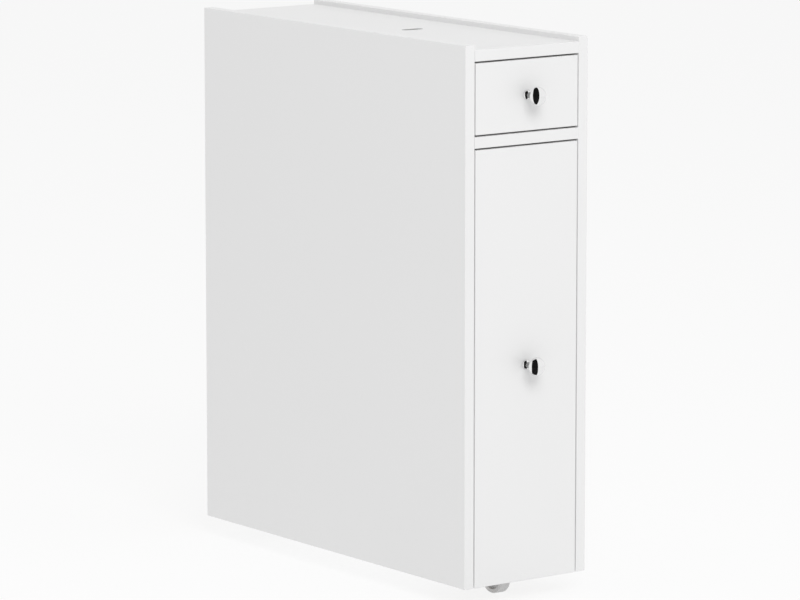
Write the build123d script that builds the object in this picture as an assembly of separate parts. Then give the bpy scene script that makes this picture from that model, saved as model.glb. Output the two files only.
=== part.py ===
from build123d import *
import math
import os

# Narrow bathroom cabinet: a slim carcass on low castors, with a small drawer
# above a full-height pull-out that has its own castor behind its front.
# Lengths are millimetres. +Z is up, the fronts face -Y and the floor is at z = 0.
# The origin lies on the floor, below the middle of the whole cabinet's box.

# Carcass
cabinet_width = 160.0
cabinet_depth = 472.0
panel_height = 568.0
floor_gap = 22.0
board = 12.0
arris = 0.8
top_inset = 5.2
back_thickness = 3.0
back_inset = 7.0
back_groove_depth = 5.0
groove_clearance = 0.1

# Fronts, with the gaps that show between them
front_gap = 1.8
side_gap = 1.2
drawer_front_height = 74.1

# Long finger slot across the top board
top_slot_length = 26.0
top_slot_width = 10.0
top_slot_setback = 198.0
top_slot_rounding = 0.6

# Knobs
knob_base_radius = 5.7
knob_bead_radius = 5.8
knob_neck_radius = 3.2
knob_under_radius = 9.8
knob_under_height = 16.3
knob_rim_radius = 10.4
knob_rim_height = 17.4
knob_rim_rounding = 0.35
knob_dome_rise = 8.0
knob_screw_radius = 2.0
knob_screw_reach = 9.0
knob_screw_head_radius = 4.0
knob_screw_head_height = 2.4
knob_neck_slope = (0, 1)
knob_under_slope = (1, 0.3)

# Drawer box and the wooden runners that it slides on
drawer_box_height = 58.0
drawer_back_clearance = 22.0
drawer_box_lift = 4.0
drawer_side_clearance = 1.0
drawer_stay = 140.0
drawer_bottom_thickness = 3.0
drawer_bottom_height = 6.0
drawer_bottom_groove = 4.0
runner_thickness = 6.5
runner_height = 12.0
runner_setback = 24.0
runner_groove_setback = 22.0
runner_side_clearance = 0.6
runner_gap = 0.3
stop_peg_radius = 4.0
stop_peg_seat = 8.0
stop_peg_catch = 6.0

# Pull-out
pull_stay = 105.0
bay_count = 3
pull_side_clearance = 9.0
pull_back_clearance = 7.0
pull_floor_clearance = 2.0
rod_radius = 2.5
rod_height = 45.0
rod_inset = 8.0
rod_seat = 6.0
castor_setback = 50.0
castor_block_width = 60.0
castor_block_margin = 3.0
bottom_board_clearance = 6.0

# Rollers at the back of the pull-out
roller_rest_gap = 0.2
roller_width = 6.0
roller_side_gap = 0.3
roller_setback = 14.0
roller_screw_shoulder_radius = 2.5
roller_screw_shank_radius = 1.8
roller_screw_shank_length = 14.0
roller_screw_head_radius = 4.5
roller_screw_head_height = 1.4

# Guide channel under the divider and the block that runs in it
channel_width = 16.0
channel_height = 11.0
channel_wall = 1.5
channel_setback = 20.0
channel_back_clearance = 1.0
guide_block_length = 22.0
guide_block_gap = 0.3
guide_block_rounding = 1.0
guide_under_clearance = 2.0
stop_pin_radius = 2.0
stop_pin_overhang = 1.0
stop_clearance = 0.3

# Castors, all alike
castor_height = 40.0
wheel_radius = 17.5
wheel_width = 12.0
wheel_edge = 0.4
wheel_recess_radius = 13.0
wheel_recess_depth = 3.5
wheel_hub_radius = 5.0
axle_radius = 2.5
axle_head_radius = 4.0
axle_head_height = 1.2
running_clearance = 0.05
fork_thickness = 1.5
fork_side_gap = 0.5
fork_leg_width = 22.0
fork_leg_end_radius = 6.5
plate_length = 38.0
plate_width = 26.0
plate_corner = 2.0
castor_offset = 15.0
castor_back_margin = 21.0

# Screws and dowels
castor_screw_radius = 1.8
castor_screw_length = 10.0
castor_screw_head_radius = 3.0
castor_screw_head_height = 1.8
castor_screw_edge = 4.5
wood_screw_radius = 1.6
wood_screw_head_radius = 3.0
wood_screw_head_height = 1.5
runner_screw_length = 14.0
channel_screw_length = 10.0
guide_screw_length = 26.0
screw_end_distance = 36.0
dowel_radius = 3.0
dowel_panel_depth = 8.0
dowel_board_depth = 16.0
dowel_edge_distance = 40.0
dowel_side_distance = 24.0
dowels_per_joint = 3
screws_per_run = 3
hole_clearance = 0.05
hole_end_clearance = 0.4

# How far a cutting tool runs past the face that it cuts
overrun = 1.0

# Heights of the carcass, from the floor up
panel_top = floor_gap + panel_height
top_upper = panel_top - top_inset
top_under = top_upper - board
drawer_front_top = top_under - front_gap
drawer_front_bottom = drawer_front_top - drawer_front_height
divider_upper = drawer_front_bottom - front_gap
divider_under = divider_upper - board
pull_front_top = divider_under - front_gap
bottom_under = castor_height
bottom_upper = bottom_under + board

# Places across and along the carcass
half_width = cabinet_width / 2
inner_half = half_width - board
front_half = inner_half - side_gap
knob_projection = knob_rim_height + knob_dome_rise
front_y = (knob_projection - cabinet_depth) / 2
back_y = front_y + cabinet_depth
front_inner_y = front_y + board
back_panel_y = back_y - back_inset - back_thickness

# Places in the drawer
drawer_half = inner_half - drawer_side_clearance
drawer_inner_half = drawer_half - board
drawer_back_y = back_panel_y - drawer_back_clearance
drawer_travel = drawer_back_y - front_y - drawer_stay
drawer_low = divider_upper + drawer_box_lift
drawer_high = drawer_low + drawer_box_height
drawer_mid = (drawer_low + drawer_high) / 2
drawer_knob_height = (drawer_front_top + drawer_front_bottom) / 2
drawer_floor = drawer_low + drawer_bottom_height
drawer_dowel_heights = (
    (drawer_floor + drawer_bottom_thickness + drawer_mid - runner_height / 2) / 2,
    (drawer_high + drawer_mid + runner_height / 2) / 2,
)

# Places in the pull-out
pull_half = inner_half - pull_side_clearance
pull_back_y = back_panel_y - pull_back_clearance
pull_back_inner_y = pull_back_y - board
pull_travel = pull_back_y - front_y - pull_stay
pull_knob_height = (pull_front_top + floor_gap) / 2
pull_low = bottom_upper + pull_floor_clearance
pull_floor = pull_low + board
channel_under = divider_under - channel_height
pull_back_top = channel_under - guide_under_clearance
bay_height = (pull_back_top - pull_floor - (bay_count - 1) * board) / bay_count
level_tops = [pull_floor + index * (bay_height + board) for index in range(bay_count)]
shelf_lows = [level - board for level in level_tops[1:]]
pull_dowel_x = pull_half - dowel_side_distance

# Places of the castors
pull_castor_y = front_y + castor_setback
block_half_length = plate_length / 2 + castor_block_margin
bottom_front_y = pull_castor_y + block_half_length + bottom_board_clearance
front_castor_y = bottom_front_y + castor_block_margin + plate_length / 2
rear_castor_y = back_y - castor_back_margin - plate_length / 2
carcass_castors = {
    "front_left": (-castor_offset, front_castor_y),
    "front_right": (castor_offset, front_castor_y),
    "rear_left": (-castor_offset, rear_castor_y),
    "rear_right": (castor_offset, rear_castor_y),
}


def slab(x_range, y_range, z_range):
    """A plain board between two corners."""
    size = [high - low for low, high in (x_range, y_range, z_range)]
    middle = [(high + low) / 2 for low, high in (x_range, y_range, z_range)]
    return Pos(*middle) * Box(*size)


def rod_along(start, direction, length, radius):
    """A round bar that starts at a point and runs along a direction."""
    frame = Plane(origin=start, z_dir=direction).location
    return frame * Pos(0, 0, length / 2) * Cylinder(radius, length)


def cone_along(start, direction, length, start_radius, end_radius):
    """A round taper that starts at a point and runs along a direction."""
    frame = Plane(origin=start, z_dir=direction).location
    return frame * Pos(0, 0, length / 2) * Cone(start_radius, end_radius, length)


def moved(point, direction, distance):
    """A point shifted along a direction."""
    return tuple(p + d * distance for p, d in zip(point, direction))


def dowel(point, direction, panel_depth, board_depth):
    """A dowel across a joint: back into the panel, ahead into the board."""
    start = moved(point, direction, -panel_depth)
    return rod_along(start, direction, panel_depth + board_depth, dowel_radius)


def dowel_hole(point, direction, panel_depth, board_depth):
    """The two blind holes of a dowel, as one cutter."""
    start = moved(point, direction, -panel_depth - hole_end_clearance)
    length = panel_depth + board_depth + 2 * hole_end_clearance
    return rod_along(start, direction, length, dowel_radius + hole_clearance)


def countersunk_screw(point, direction, length):
    """A wood screw with its flat head at the point, running along the direction."""
    head = cone_along(point, direction, wood_screw_head_height, wood_screw_head_radius, wood_screw_radius)
    return head + rod_along(point, direction, length, wood_screw_radius)


def countersunk_hole(point, direction, length):
    """The hole that a countersunk screw seats in."""
    head_radius = wood_screw_head_radius + hole_clearance
    shank_radius = wood_screw_radius + hole_clearance
    head = cone_along(point, direction, wood_screw_head_height, head_radius, shank_radius)
    return head + rod_along(point, direction, length + hole_end_clearance, shank_radius)


def spread(low, high, count):
    """Evenly spaced places from low to high."""
    return [low + (high - low) * index / (count - 1) for index in range(count)]


def rounded(solid):
    """A board with every arris eased."""
    return fillet(solid.edges(), arris)


def front_edges_eased(solid, face_y):
    """A board with only the long edges of its front face eased."""
    edges = [edge for edge in solid.edges().filter_by(Axis.X) if abs(edge.center().Y - face_y) < arris]
    return fillet(edges, arris)


def carcass_dowel_sites():
    """Joint point, direction into the board, for every dowel of the carcass."""
    runs = (
        (top_upper - board / 2, front_y, back_panel_y),
        (divider_upper - board / 2, front_y, back_panel_y),
        (bottom_upper - board / 2, bottom_front_y, back_panel_y),
    )
    sites = []
    for height, start, end in runs:
        for place in spread(start + dowel_edge_distance, end - dowel_edge_distance, dowels_per_joint):
            for side in (-1, 1):
                sites.append(((side * inner_half, place, height), (-side, 0, 0)))
    return sites


def carcass_dowel_cutters():
    return [dowel_hole(point, way, dowel_panel_depth, dowel_board_depth) for point, way in carcass_dowel_sites()]


def runner_screw_sites(side):
    """Head point and direction of each screw that holds a drawer runner."""
    low = front_y + runner_setback + screw_end_distance
    high = drawer_back_y - screw_end_distance
    face = side * (inner_half - runner_thickness)
    return [((face, place, drawer_mid), (side, 0, 0)) for place in spread(low, high, screws_per_run)]


def side_panel(side):
    """An upright panel with the back's groove, dowel holes and runner screw holes."""
    outer = side * half_width
    inner = side * inner_half
    panel = slab(sorted((inner, outer)), (front_y, back_y), (floor_gap, panel_top))
    panel = rounded(panel)
    groove_end = inner + side * back_groove_depth
    groove_front = back_panel_y - groove_clearance
    groove_back = back_panel_y + back_thickness + groove_clearance
    groove_x = sorted((inner - side * overrun, groove_end))
    groove_z = (bottom_upper - back_groove_depth, top_under + back_groove_depth)
    panel -= slab(groove_x, (groove_front, groove_back), groove_z)
    panel -= carcass_dowel_cutters()
    panel -= [countersunk_hole(point, way, runner_screw_length) for point, way in runner_screw_sites(side)]
    return panel


def back_groove(low, high):
    """Cutter for the groove that the back panel enters in a flat board."""
    groove_y = (back_panel_y - groove_clearance, back_panel_y + back_thickness + groove_clearance)
    return slab((-inner_half - overrun, inner_half + overrun), groove_y, (low, high))


def stop_peg_place():
    """The axis of the peg that the drawer's back meets when fully out."""
    return drawer_back_y - board - drawer_travel - stop_clearance - stop_peg_radius


def on_slot_rim(edge, slot_y):
    """Whether an edge runs round the finger slot, on the upper or the lower face."""
    middle = edge.center()
    near = abs(middle.X) < top_slot_length / 2 + overrun and abs(middle.Y - slot_y) < top_slot_width / 2 + overrun
    return near and min(abs(middle.Z - top_upper), abs(middle.Z - top_under)) < overrun


def top_board():
    """The fixed top, let in between the panels, with its finger slot."""
    top = slab((-inner_half, inner_half), (front_y, back_y), (top_under, top_upper))
    top = front_edges_eased(top, front_y)
    top = front_edges_eased(top, back_y)
    slot_y = front_y + top_slot_setback
    outline = Pos(0, slot_y, top_under) * SlotOverall(top_slot_length, top_slot_width)
    top -= extrude(outline, board)
    top = fillet([edge for edge in top.edges() if on_slot_rim(edge, slot_y)], top_slot_rounding)
    top -= back_groove(top_under - overrun, top_under + back_groove_depth)
    top -= carcass_dowel_cutters()
    peg_start = (0, stop_peg_place(), top_under - overrun)
    peg_depth = overrun + stop_peg_seat + hole_end_clearance
    return top - rod_along(peg_start, (0, 0, 1), peg_depth, stop_peg_radius + hole_clearance)


def drawer_stop_peg():
    """A peg under the top board, low enough to catch the drawer's back."""
    low = drawer_high - stop_peg_catch
    return rod_along((0, stop_peg_place(), low), (0, 0, 1), top_under + stop_peg_seat - low, stop_peg_radius)


def divider_board():
    """The fixed rail and shelf between the drawer and the pull-out."""
    divider = slab((-inner_half, inner_half), (front_y, back_panel_y), (divider_under, divider_upper))
    divider = front_edges_eased(divider, front_y)
    divider -= carcass_dowel_cutters()
    return divider - [channel_screw_hole(point) for point in channel_screw_points()]


def bottom_board():
    """The low board that carries the castors and that the pull-out rolls on."""
    bottom = slab((-inner_half, inner_half), (bottom_front_y, back_y), (bottom_under, bottom_upper))
    bottom = front_edges_eased(bottom, bottom_front_y)
    bottom -= back_groove(bottom_upper - back_groove_depth, bottom_upper + overrun)
    bottom -= carcass_dowel_cutters()
    for centre in carcass_castors.values():
        bottom -= [castor_screw_hole(point) for point in castor_screw_points(centre)]
    return bottom


def back_panel():
    """A thin panel held in grooves on all four sides."""
    reach = inner_half + back_groove_depth - groove_clearance
    low = bottom_upper - back_groove_depth + groove_clearance
    high = top_under + back_groove_depth - groove_clearance
    return slab((-reach, reach), (back_panel_y, back_panel_y + back_thickness), (low, high))


def drawer_runner(side):
    """A wooden strip on the side panel that fills the groove in the drawer's side."""
    x_range = sorted((side * inner_half, side * (inner_half - runner_thickness)))
    z_range = (drawer_mid - runner_height / 2, drawer_mid + runner_height / 2)
    runner = slab(x_range, (front_y + runner_setback, drawer_back_y), z_range)
    nose = [edge for edge in runner.edges().filter_by(Axis.Z) if edge.center().Y < 0]
    nose = [edge for edge in nose if abs(edge.center().X) < inner_half - runner_thickness / 2]
    runner = fillet(nose, runner_thickness / 2)
    return runner - [countersunk_hole(point, way, runner_screw_length) for point, way in runner_screw_sites(side)]


def channel_screw_points():
    """Head points of the screws that hold the guide channel."""
    low = front_y + channel_setback + screw_end_distance
    high = back_panel_y - channel_back_clearance - screw_end_distance
    return [(0, place, divider_under - channel_wall) for place in spread(low, high, screws_per_run)]


def channel_screw_hole(point):
    return countersunk_hole(point, (0, 0, 1), channel_screw_length)


def stop_pin_centre():
    """The pin across the channel that the guide block meets when the pull-out is fully out."""
    block_front = pull_back_inner_y + board / 2 - guide_block_length / 2
    place = block_front - pull_travel - stop_clearance - stop_pin_radius
    return (0, place, (channel_under + divider_under - channel_wall) / 2)


def guide_channel():
    """A channel, open downwards, that keeps the pull-out upright."""
    y_range = (front_y + channel_setback, back_panel_y - channel_back_clearance)
    outer = slab((-channel_width / 2, channel_width / 2), y_range, (channel_under, divider_under))
    inner_reach = channel_width / 2 - channel_wall
    slot_y = (y_range[0] - overrun, y_range[1] + overrun)
    slot = slab((-inner_reach, inner_reach), slot_y, (channel_under - overrun, divider_under - channel_wall))
    channel = outer - slot
    channel -= [channel_screw_hole(point) for point in channel_screw_points()]
    return channel - stop_pin(stop_pin_radius + hole_clearance)


def stop_pin(radius):
    """The stop pin, or the holes for it, across the channel's two walls."""
    reach = channel_width / 2 + stop_pin_overhang
    start = moved(stop_pin_centre(), (1, 0, 0), -reach)
    return rod_along(start, (1, 0, 0), 2 * reach, radius)


def castor_screw_points(centre):
    """The four screw places of one castor's plate, on the plate's upper face."""
    reach_x = plate_width / 2 - castor_screw_edge
    reach_y = plate_length / 2 - castor_screw_edge
    return [
        (centre[0] + side * reach_x, centre[1] + end * reach_y, castor_height)
        for side in (-1, 1)
        for end in (-1, 1)
    ]


def castor_screw(point):
    """A short pan-head screw, up through the plate into the board."""
    head_start = moved(point, (0, 0, 1), -fork_thickness - castor_screw_head_height)
    head = rod_along(head_start, (0, 0, 1), castor_screw_head_height, castor_screw_head_radius)
    shank_start = moved(point, (0, 0, 1), -fork_thickness)
    return head + rod_along(shank_start, (0, 0, 1), fork_thickness + castor_screw_length, castor_screw_radius)


def castor_screw_hole(point):
    """The pilot hole above the plate and the clear hole through it."""
    start = moved(point, (0, 0, 1), -fork_thickness - overrun)
    length = fork_thickness + overrun + castor_screw_length + hole_end_clearance
    return rod_along(start, (0, 0, 1), length, castor_screw_radius + hole_clearance)


def fork_leg(x_low, y_centre):
    """One leg: wide at the plate, narrowing to a round end about the axle."""
    drop = castor_height - fork_thickness - wheel_radius
    half = fork_leg_width / 2
    reach = math.hypot(half, drop)
    tangent = math.atan2(drop, half) - math.acos(fork_leg_end_radius / reach)
    touch = (fork_leg_end_radius * math.cos(tangent), fork_leg_end_radius * math.sin(tangent))
    outline = Polygon((-half, drop), (-touch[0], touch[1]), touch, (half, drop), align=None)
    face = outline + Circle(fork_leg_end_radius)
    place = Plane(origin=(x_low, y_centre, wheel_radius), x_dir=(0, 1, 0), z_dir=(1, 0, 0))
    return extrude(place * face, fork_thickness)


def castor_fork(centre):
    """A pressed plate with two legs and the axle's hole."""
    plate_low = castor_height - fork_thickness
    plate = slab(
        (centre[0] - plate_width / 2, centre[0] + plate_width / 2),
        (centre[1] - plate_length / 2, centre[1] + plate_length / 2),
        (plate_low, castor_height),
    )
    plate = fillet(plate.edges().filter_by(Axis.Z), plate_corner)
    inner = wheel_width / 2 + fork_side_gap
    fork = plate + fork_leg(centre[0] + inner, centre[1])
    fork += fork_leg(centre[0] - inner - fork_thickness, centre[1])
    fork -= [castor_screw_hole(point) for point in castor_screw_points(centre)]
    bore_start = (centre[0] - inner - fork_thickness - overrun, centre[1], wheel_radius)
    bore_length = 2 * (inner + fork_thickness + overrun)
    return fork - rod_along(bore_start, (1, 0, 0), bore_length, axle_radius + hole_clearance)


def castor_axle(centre):
    """A rivet through both legs, with a flat head at each end."""
    leg_face = wheel_width / 2 + fork_side_gap + fork_thickness
    start = (centre[0] - leg_face, centre[1], wheel_radius)
    axle = rod_along(start, (1, 0, 0), 2 * leg_face, axle_radius)
    for side in (-1, 1):
        head_start = (centre[0] + side * leg_face, centre[1], wheel_radius)
        axle += rod_along(head_start, (side, 0, 0), axle_head_height, axle_head_radius)
    return axle


def castor_wheel(centre):
    """A moulded wheel with a flat tread, dished on both sides round its hub."""
    start = (centre[0] - wheel_width / 2, centre[1], wheel_radius)
    wheel = rod_along(start, (1, 0, 0), wheel_width, wheel_radius)
    wheel = chamfer(wheel.edges().filter_by(GeomType.CIRCLE), wheel_edge)
    for side in (-1, 1):
        face = (centre[0] + side * wheel_width / 2, centre[1], wheel_radius)
        outside = moved(face, (side, 0, 0), overrun)
        depth = wheel_recess_depth + overrun
        dish = rod_along(outside, (-side, 0, 0), depth, wheel_recess_radius)
        wheel -= dish - rod_along(outside, (-side, 0, 0), depth, wheel_hub_radius)
    bore_start = moved(start, (1, 0, 0), -overrun)
    bore_radius = axle_radius + running_clearance
    return wheel - rod_along(bore_start, (1, 0, 0), wheel_width + 2 * overrun, bore_radius)


def knob(height):
    """A turned knob: a foot like half a bead, a slim neck and a round domed head."""
    bead_depth = math.sqrt(knob_bead_radius**2 - knob_base_radius**2)
    bead_middle_radius = (knob_base_radius + knob_neck_radius) / 2
    bead_middle = (bead_middle_radius, math.sqrt(knob_bead_radius**2 - bead_middle_radius**2) - bead_depth)
    bead_end = (knob_neck_radius, math.sqrt(knob_bead_radius**2 - knob_neck_radius**2) - bead_depth)
    dome_radius = (knob_rim_radius**2 + knob_dome_rise**2) / (2 * knob_dome_rise)
    dome_centre = knob_projection - dome_radius
    half_turn = math.asin(knob_rim_radius / dome_radius) / 2
    dome_middle = (dome_radius * math.sin(half_turn), dome_centre + dome_radius * math.cos(half_turn))
    under = (knob_under_radius, knob_under_height)
    rim = (knob_rim_radius, knob_rim_height)
    profile = Polyline((0, knob_projection), (0, 0), (knob_base_radius, 0))
    profile += ThreePointArc((knob_base_radius, 0), bead_middle, bead_end)
    profile += Spline(bead_end, under, tangents=[knob_neck_slope, knob_under_slope])
    profile += Line(under, rim)
    profile += ThreePointArc(rim, dome_middle, (0, knob_projection))
    turned = revolve(make_face(profile), Axis.Y)
    rim_edges = [
        edge
        for edge in turned.edges().filter_by(GeomType.CIRCLE)
        if edge.center().Y > knob_under_height - overrun
    ]
    turned = fillet(rim_edges, knob_rim_rounding)
    place = Plane(origin=(0, front_y, height), x_dir=(1, 0, 0), z_dir=(0, 0, 1)).location
    turned = place * Rot(180, 0, 0) * turned
    bore_start = (0, front_y + overrun, height)
    bore_length = overrun + knob_screw_reach + hole_end_clearance
    return turned - rod_along(bore_start, (0, -1, 0), bore_length, knob_screw_radius + hole_clearance)


def knob_screw(height):
    """A machine screw from inside the front into the knob."""
    head_start = (0, front_inner_y + knob_screw_head_height, height)
    head = rod_along(head_start, (0, -1, 0), knob_screw_head_height, knob_screw_head_radius)
    shank_start = (0, front_inner_y, height)
    return head + rod_along(shank_start, (0, -1, 0), board + knob_screw_reach, knob_screw_radius)


def knob_screw_hole(height):
    start = (0, front_inner_y + overrun, height)
    return rod_along(start, (0, -1, 0), board + 2 * overrun, knob_screw_radius + hole_clearance)


def drawer_dowel_sites():
    """Joint point, direction into the board, for every dowel of the drawer."""
    sites = []
    for height in drawer_dowel_heights:
        for side in (-1, 1):
            side_middle = side * (drawer_half - board / 2)
            sites.append(((side_middle, front_inner_y, height), (0, 1, 0)))
            back_middle = drawer_back_y - board / 2
            sites.append(((side * drawer_inner_half, back_middle, height), (-side, 0, 0)))
    return sites


def drawer_dowel_cutters():
    return [dowel_hole(point, way, dowel_panel_depth, dowel_board_depth) for point, way in drawer_dowel_sites()]


def drawer_bottom(clearance):
    """The drawer's thin bottom, or with a clearance the groove that it sits in."""
    reach_x = drawer_inner_half + drawer_bottom_groove - groove_clearance + clearance
    y_low = front_inner_y - drawer_bottom_groove + groove_clearance - clearance
    y_high = drawer_back_y - board + drawer_bottom_groove - groove_clearance + clearance
    z_range = (drawer_floor - clearance, drawer_floor + drawer_bottom_thickness + clearance)
    return slab((-reach_x, reach_x), (y_low, y_high), z_range)


def drawer_front():
    """The drawer's face, which is also the front wall of its box."""
    face = rounded(slab((-front_half, front_half), (front_y, front_inner_y), (drawer_front_bottom, drawer_front_top)))
    face -= drawer_bottom(groove_clearance)
    face -= knob_screw_hole(drawer_knob_height)
    return face - drawer_dowel_cutters()


def drawer_side(side):
    """A drawer side, grooved outside for the runner and inside for the bottom."""
    x_range = sorted((side * drawer_inner_half, side * drawer_half))
    wall = slab(x_range, (front_inner_y, drawer_back_y), (drawer_low, drawer_high))
    groove_floor = inner_half - runner_thickness - runner_side_clearance
    groove_x = sorted((side * groove_floor, side * (drawer_half + overrun)))
    groove_z = (drawer_mid - runner_height / 2 - runner_gap, drawer_mid + runner_height / 2 + runner_gap)
    wall -= slab(groove_x, (front_y + runner_groove_setback, drawer_back_y + overrun), groove_z)
    wall -= drawer_bottom(groove_clearance)
    return wall - drawer_dowel_cutters()


def drawer_back():
    """The drawer's back, between its sides."""
    x_range = (-drawer_inner_half, drawer_inner_half)
    wall = slab(x_range, (drawer_back_y - board, drawer_back_y), (drawer_low, drawer_high))
    wall -= drawer_bottom(groove_clearance)
    return wall - drawer_dowel_cutters()


def pull_dowel_sites():
    """Joint point, direction, panel depth and board depth of the pull-out's dowels."""
    sites = []
    for side in (-1, 1):
        x = side * pull_dowel_x
        for low in (pull_low, *shelf_lows):
            middle = low + board / 2
            sites.append(((x, front_inner_y, middle), (0, 1, 0), dowel_panel_depth, dowel_board_depth))
        for low in shelf_lows:
            middle = low + board / 2
            sites.append(((x, pull_back_inner_y, middle), (0, -1, 0), dowel_panel_depth, dowel_board_depth))
        back_middle = pull_back_y - board / 2
        sites.append(((x, back_middle, pull_floor), (0, 0, 1), dowel_panel_depth, dowel_board_depth))
        block_x = side * (castor_block_width / 2 - dowel_panel_depth)
        sites.append(((block_x, pull_castor_y, pull_low), (0, 0, -1), dowel_panel_depth, dowel_panel_depth))
    return sites


def pull_dowel_cutters():
    return [dowel_hole(*site) for site in pull_dowel_sites()]


def rod_ends(side, level):
    """Start point and length of a guard rod above one level."""
    start = (side * (pull_half - rod_inset), front_inner_y - rod_seat, level + rod_height)
    return start, pull_back_inner_y - front_inner_y + 2 * rod_seat


def rod_cutters():
    cutters = []
    for side in (-1, 1):
        for level in level_tops:
            start, length = rod_ends(side, level)
            start = moved(start, (0, 1, 0), -hole_end_clearance)
            cutters.append(rod_along(start, (0, 1, 0), length + 2 * hole_end_clearance, rod_radius + hole_clearance))
    return cutters


def guard_rod(side, level):
    """A round rod that keeps bottles from falling off a level."""
    start, length = rod_ends(side, level)
    return rod_along(start, (0, 1, 0), length, rod_radius)


def pull_front():
    """The tall face of the pull-out."""
    face = rounded(slab((-front_half, front_half), (front_y, front_inner_y), (floor_gap, pull_front_top)))
    face -= knob_screw_hole(pull_knob_height)
    face -= rod_cutters()
    return face - pull_dowel_cutters()


def pull_bottom():
    """The pull-out's lowest board, which the castor block and the rollers carry."""
    floor_board = slab((-pull_half, pull_half), (front_inner_y, pull_back_y), (pull_low, pull_floor))
    floor_board -= pull_dowel_cutters()
    return floor_board - [roller_screw_hole(side) for side in (-1, 1)]


def pull_shelf(low):
    """A shelf between the pull-out's front and back."""
    shelf = slab((-pull_half, pull_half), (front_inner_y, pull_back_inner_y), (low, low + board))
    return shelf - pull_dowel_cutters()


def pull_back():
    """The pull-out's upright back."""
    wall = slab((-pull_half, pull_half), (pull_back_inner_y, pull_back_y), (pull_floor, pull_back_top))
    wall -= rod_cutters()
    wall -= pull_dowel_cutters()
    return wall - guide_screw_hole()


def castor_block():
    """A solid block that brings the pull-out's castor down to the common height."""
    x_range = (-castor_block_width / 2, castor_block_width / 2)
    y_range = (pull_castor_y - block_half_length, pull_castor_y + block_half_length)
    block = slab(x_range, y_range, (castor_height, pull_low))
    block -= [castor_screw_hole(point) for point in castor_screw_points((0, pull_castor_y))]
    return block - pull_dowel_cutters()


def roller_centre(side):
    """The middle of a roller, on the axis of its shoulder screw."""
    x = side * (pull_half + roller_side_gap + roller_width / 2)
    return (x, pull_back_y - roller_setback, pull_low + board / 2)


def roller(side):
    """A small wheel at the back of the pull-out, on the bottom board."""
    centre = roller_centre(side)
    radius = centre[2] - bottom_upper - roller_rest_gap
    start = moved(centre, (1, 0, 0), -roller_width / 2)
    wheel = rod_along(start, (1, 0, 0), roller_width, radius)
    wheel = chamfer(wheel.edges().filter_by(GeomType.CIRCLE), wheel_edge)
    bore_start = moved(start, (1, 0, 0), -overrun)
    bore_radius = roller_screw_shoulder_radius + running_clearance
    return wheel - rod_along(bore_start, (1, 0, 0), roller_width + 2 * overrun, bore_radius)


def roller_screw(side):
    """A shoulder screw: thread in the board's edge, shoulder in the roller, flat head."""
    centre = roller_centre(side)
    edge_point = (side * pull_half, centre[1], centre[2])
    way = (side, 0, 0)
    shoulder = roller_width + 2 * roller_side_gap
    screw = rod_along(edge_point, way, shoulder, roller_screw_shoulder_radius)
    screw += rod_along(edge_point, (-side, 0, 0), roller_screw_shank_length, roller_screw_shank_radius)
    head_start = moved(edge_point, way, shoulder)
    return screw + rod_along(head_start, way, roller_screw_head_height, roller_screw_head_radius)


def roller_screw_hole(side):
    centre = roller_centre(side)
    start = (side * (pull_half + overrun), centre[1], centre[2])
    length = overrun + roller_screw_shank_length + hole_end_clearance
    return rod_along(start, (-side, 0, 0), length, roller_screw_shank_radius + hole_clearance)


def guide_block_top():
    return divider_under - channel_wall - guide_block_gap


def guide_screw_point():
    return (0, pull_back_y - board / 2, guide_block_top())


def guide_screw_hole():
    return countersunk_hole(guide_screw_point(), (0, 0, -1), guide_screw_length)


def guide_block():
    """A block on the pull-out's back that runs in the guide channel."""
    half_thick = channel_width / 2 - channel_wall - guide_block_gap
    middle = pull_back_y - board / 2
    y_range = (middle - guide_block_length / 2, middle + guide_block_length / 2)
    block = slab((-half_thick, half_thick), y_range, (pull_back_top, guide_block_top()))
    block = fillet(block.edges().filter_by(Axis.Z), guide_block_rounding)
    return block - guide_screw_hole()


def group(solids):
    """Like small pieces kept together as one node of separate solids."""
    return Compound(children=list(solids))


sides = {"left": -1, "right": 1}
pull_castor = (0, pull_castor_y)
nodes = {
    "top_board": top_board(),
    "divider_board": divider_board(),
    "bottom_board": bottom_board(),
    "back_panel": back_panel(),
    "carcass_dowels": group(
        dowel(point, way, dowel_panel_depth, dowel_board_depth) for point, way in carcass_dowel_sites()
    ),
    "drawer_stop_peg": drawer_stop_peg(),
    "guide_channel": guide_channel(),
    "guide_channel_screws": group(
        countersunk_screw(point, (0, 0, 1), channel_screw_length) for point in channel_screw_points()
    ),
    "guide_stop_pin": stop_pin(stop_pin_radius),
    "castor_axles": group(castor_axle(centre) for centre in carcass_castors.values()),
    "castor_screws": group(
        castor_screw(point) for centre in carcass_castors.values() for point in castor_screw_points(centre)
    ),
    "drawer_front": drawer_front(),
    "drawer_back": drawer_back(),
    "drawer_bottom": drawer_bottom(0),
    "drawer_dowels": group(
        dowel(point, way, dowel_panel_depth, dowel_board_depth) for point, way in drawer_dowel_sites()
    ),
    "drawer_knob": knob(drawer_knob_height),
    "drawer_knob_screw": knob_screw(drawer_knob_height),
    "pullout_front": pull_front(),
    "pullout_bottom": pull_bottom(),
    "pullout_back": pull_back(),
    "pullout_shelf_lower": pull_shelf(shelf_lows[0]),
    "pullout_shelf_upper": pull_shelf(shelf_lows[1]),
    "pullout_dowels": group(dowel(*site) for site in pull_dowel_sites()),
    "pullout_knob": knob(pull_knob_height),
    "pullout_knob_screw": knob_screw(pull_knob_height),
    "pullout_castor_block": castor_block(),
    "pullout_castor_fork": castor_fork(pull_castor),
    "pullout_castor_axle": castor_axle(pull_castor),
    "pullout_castor_screws": group(castor_screw(point) for point in castor_screw_points(pull_castor)),
    "pullout_castor_wheel": castor_wheel(pull_castor),
    "guide_block": guide_block(),
    "guide_block_screw": countersunk_screw(guide_screw_point(), (0, 0, -1), guide_screw_length),
    "roller_screws": group(roller_screw(side) for side in sides.values()),
}
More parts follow.
